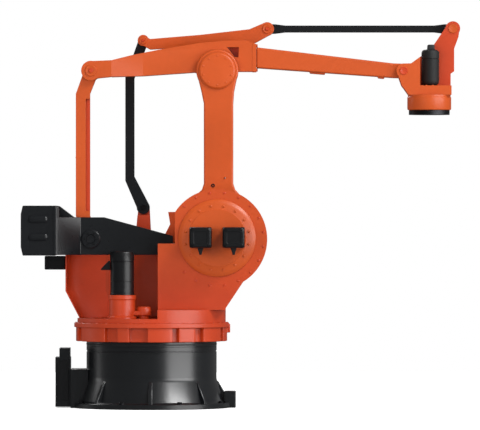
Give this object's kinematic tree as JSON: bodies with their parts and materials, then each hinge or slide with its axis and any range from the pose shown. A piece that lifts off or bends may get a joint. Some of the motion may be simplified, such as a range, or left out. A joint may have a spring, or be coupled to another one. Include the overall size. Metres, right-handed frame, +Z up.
{
  "type": "industrial robot arm",
  "caption": "Floor-standing palletizing robot arm on a slewing base, with parallel linkages that keep the wrist level, a counterweight lever and a round tool flange.",
  "frame": {"origin": "floor level on the first axis, the centre of the floor bolt circle", "axes": "+X forward, the way the arm reaches; +Z up along the first axis"},
  "size_m": [3.132, 1.2, 2.764],
  "materials": {
    "orange_casting": "satin orange paint",
    "black_casting": "satin black paint",
    "motor_black": "fine black powder coat",
    "bare_steel": "machined steel"
  },
  "bodies": {
    "base": {"base_casting": "black_casting", "bearing_ring": "black_casting", "cable_box": "motor_black"},
    "turntable": {"slew_ring": "orange_casting", "turntable": "orange_casting", "near_cheek": "orange_casting", "far_cheek": "orange_casting", "front_web": "orange_casting", "far_wall": "orange_casting", "rear_wall": "orange_casting", "near_gear_cover": "orange_casting", "far_gear_cover": "orange_casting", "near_rear_motor": "motor_black", "near_front_motor": "motor_black", "far_rear_motor": "motor_black", "far_front_motor": "motor_black", "shoulder_shaft": "bare_steel", "slew_gearbox": "orange_casting", "slew_motor": "motor_black", "slew_motor_plug": "motor_black", "rod_bracket": "orange_casting", "bracket_pin": "bare_steel", "junction_box": "motor_black"},
    "link_arm": {"link_arm": "orange_casting", "elbow_cap": "orange_casting", "elbow_pin": "bare_steel"},
    "counterweight_lever": {"lever": "black_casting", "counterweight": "black_casting", "crank_pin": "bare_steel"},
    "rear_pin": {"rear_pin": "bare_steel"},
    "rear_push_rod": {"rear_push_rod": "orange_casting"},
    "rocker": {"rocker": "orange_casting", "rocker_front_pin": "bare_steel", "rocker_rear_pin": "bare_steel"},
    "guide_rod": {"guide_rod": "black_casting"},
    "wrist_rod": {"wrist_rod": "black_casting"},
    "arm": {"arm_casting": "orange_casting", "boom": "orange_casting"},
    "wrist": {"wrist_casting": "orange_casting", "wrist_pin": "bare_steel", "wrist_knob_pin": "bare_steel", "wrist_gearbox": "orange_casting", "wrist_motor": "motor_black", "wrist_motor_plug": "motor_black"},
    "tool_flange": {"tool_flange": "bare_steel"}
  },
  "joints": [
    {"name": "slew", "type": "hinge", "parent": "base", "child": "turntable", "pos_m": [0, 0, 0.476], "axis": [0, 0, 1], "range_deg": [-185, 185]},
    {"name": "shoulder", "type": "hinge", "parent": "turntable", "child": "link_arm", "pos_m": [0.47, 0, 1.205], "axis": [0, 1, 0], "range_deg": [-30, 45]},
    {"name": "rocker_level", "type": "hinge", "parent": "link_arm", "child": "rocker", "pos_m": [0.47, 0, 2.405], "axis": [0, 1, 0], "range_deg": [-45, 30]},
    {"name": "elbow", "type": "hinge", "parent": "rocker", "child": "arm", "pos_m": [0.47, 0, 2.405], "axis": [0, 1, 0], "range_deg": [-15, 35]},
    {"name": "lever_swing", "type": "hinge", "parent": "turntable", "child": "counterweight_lever", "pos_m": [0.47, 0, 1.205], "axis": [0, 1, 0], "range_deg": [-15, 35]},
    {"name": "wrist_rod_swing", "type": "hinge", "parent": "rocker", "child": "wrist_rod", "pos_m": [0.827, 0.2, 2.712], "axis": [0, 1, 0], "range_deg": [-15, 35]},
    {"name": "wrist_level", "type": "hinge", "parent": "arm", "child": "wrist", "pos_m": [1.8, 0, 2.405], "axis": [0, 1, 0], "range_deg": [-35, 15]},
    {"name": "rear_pin_turn", "type": "hinge", "parent": "arm", "child": "rear_pin", "pos_m": [-0.43, 0, 2.405], "axis": [0, 1, 0], "range_deg": [-35, 15]},
    {"name": "guide_rod_swing", "type": "hinge", "parent": "turntable", "child": "guide_rod", "pos_m": [-0.063, 0.2, 1.43], "axis": [0, 1, 0], "range_deg": [-30, 45]},
    {"name": "push_rod_swing", "type": "hinge", "parent": "rear_pin", "child": "rear_push_rod", "pos_m": [-0.43, 0, 2.405], "axis": [0, 1, 0], "range_deg": [-30, 45]},
    {"name": "tool_turn", "type": "hinge", "parent": "wrist", "child": "tool_flange", "pos_m": [1.985, 0, 2.125], "axis": [0, 0, 1], "range_deg": [-350, 350]}
  ],
  "couplings": [
    {"joint": "rocker_level", "follows": "shoulder", "ratio": -1},
    {"joint": "lever_swing", "follows": "elbow", "ratio": 1},
    {"joint": "wrist_rod_swing", "follows": "elbow", "ratio": 1},
    {"joint": "wrist_level", "follows": "elbow", "ratio": -1},
    {"joint": "rear_pin_turn", "follows": "elbow", "ratio": -1},
    {"joint": "guide_rod_swing", "follows": "shoulder", "ratio": 1},
    {"joint": "push_rod_swing", "follows": "shoulder", "ratio": 1}
  ]
}
